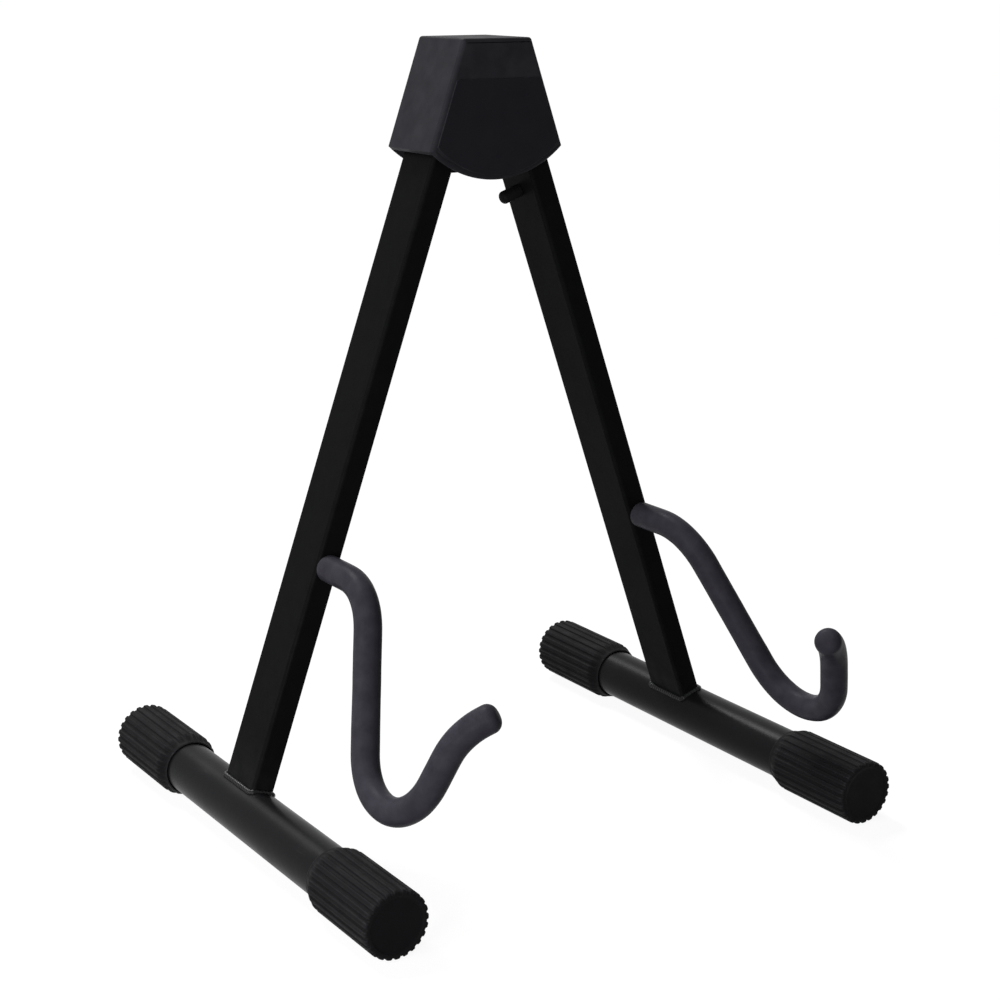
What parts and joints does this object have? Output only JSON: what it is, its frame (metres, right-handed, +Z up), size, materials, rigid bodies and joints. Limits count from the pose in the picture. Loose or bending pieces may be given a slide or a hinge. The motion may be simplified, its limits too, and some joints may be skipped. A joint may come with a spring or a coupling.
{
  "type": "guitar stand",
  "caption": "Folding A-frame instrument stand: two legs hinged in a moulded head, ribbed rubber feet and padded support arms that hook forward.",
  "frame": {"origin": "on the floor, midway between the two feet and midway from the back of the feet to the tips of the arms", "axes": "+Z up, +X towards the right leg as seen from the front, +Y towards the back; the instrument rests on the -Y side"},
  "size_m": [0.2962, 0.2808, 0.3748],
  "materials": {
    "leg_coat": "black powder coat, fine texture, satin",
    "foot_coat": "black paint, semi-gloss",
    "head_plastic": "black moulded plastic, fine spark texture",
    "cap_rubber": "black ribbed rubber, matte",
    "peg_rubber": "black rubber, smooth",
    "arm_foam": "black closed-cell foam rubber, skinned, satin",
    "rod_steel": "black dip coat",
    "zinc_steel": "bright zinc plate",
    "screw_black": "black oxide",
    "nylon": "natural nylon"
  },
  "bodies": {
    "head": {"head_cover": "head_plastic", "bracket_pan": "zinc_steel", "bracket_plate": "zinc_steel", "upper_bracket_post": "zinc_steel", "lower_bracket_post": "zinc_steel", "upper_cover_screw": "screw_black", "lower_cover_screw": "screw_black", "left_pivot_rivet": "zinc_steel", "left_front_washer": "nylon", "left_back_washer": "nylon", "right_pivot_rivet": "zinc_steel", "right_front_washer": "nylon", "right_back_washer": "nylon"},
    "left_leg": {"left_leg_tube": "leg_coat", "left_leg_plug": "nylon", "left_arm_rod": "rod_steel", "left_arm_sleeve": "arm_foam", "left_foot_tube": "foot_coat", "left_front_cap": "cap_rubber", "left_back_cap": "cap_rubber"},
    "right_leg": {"right_leg_tube": "leg_coat", "right_leg_plug": "nylon", "right_arm_rod": "rod_steel", "right_arm_sleeve": "arm_foam", "right_foot_tube": "foot_coat", "right_front_cap": "cap_rubber", "right_back_cap": "cap_rubber", "fold_stop_peg": "peg_rubber"}
  },
  "joints": [
    {"name": "left_leg_fold", "type": "hinge", "parent": "head", "child": "left_leg", "pos_m": [-0.01205, 0.02471, 0.358], "axis": [0, -1, 0], "range_deg": [0, 18.5]},
    {"name": "right_leg_fold", "type": "hinge", "parent": "head", "child": "right_leg", "pos_m": [0.01205, 0.02471, 0.358], "axis": [0, 1, 0], "range_deg": [0, 18.5]}
  ]
}
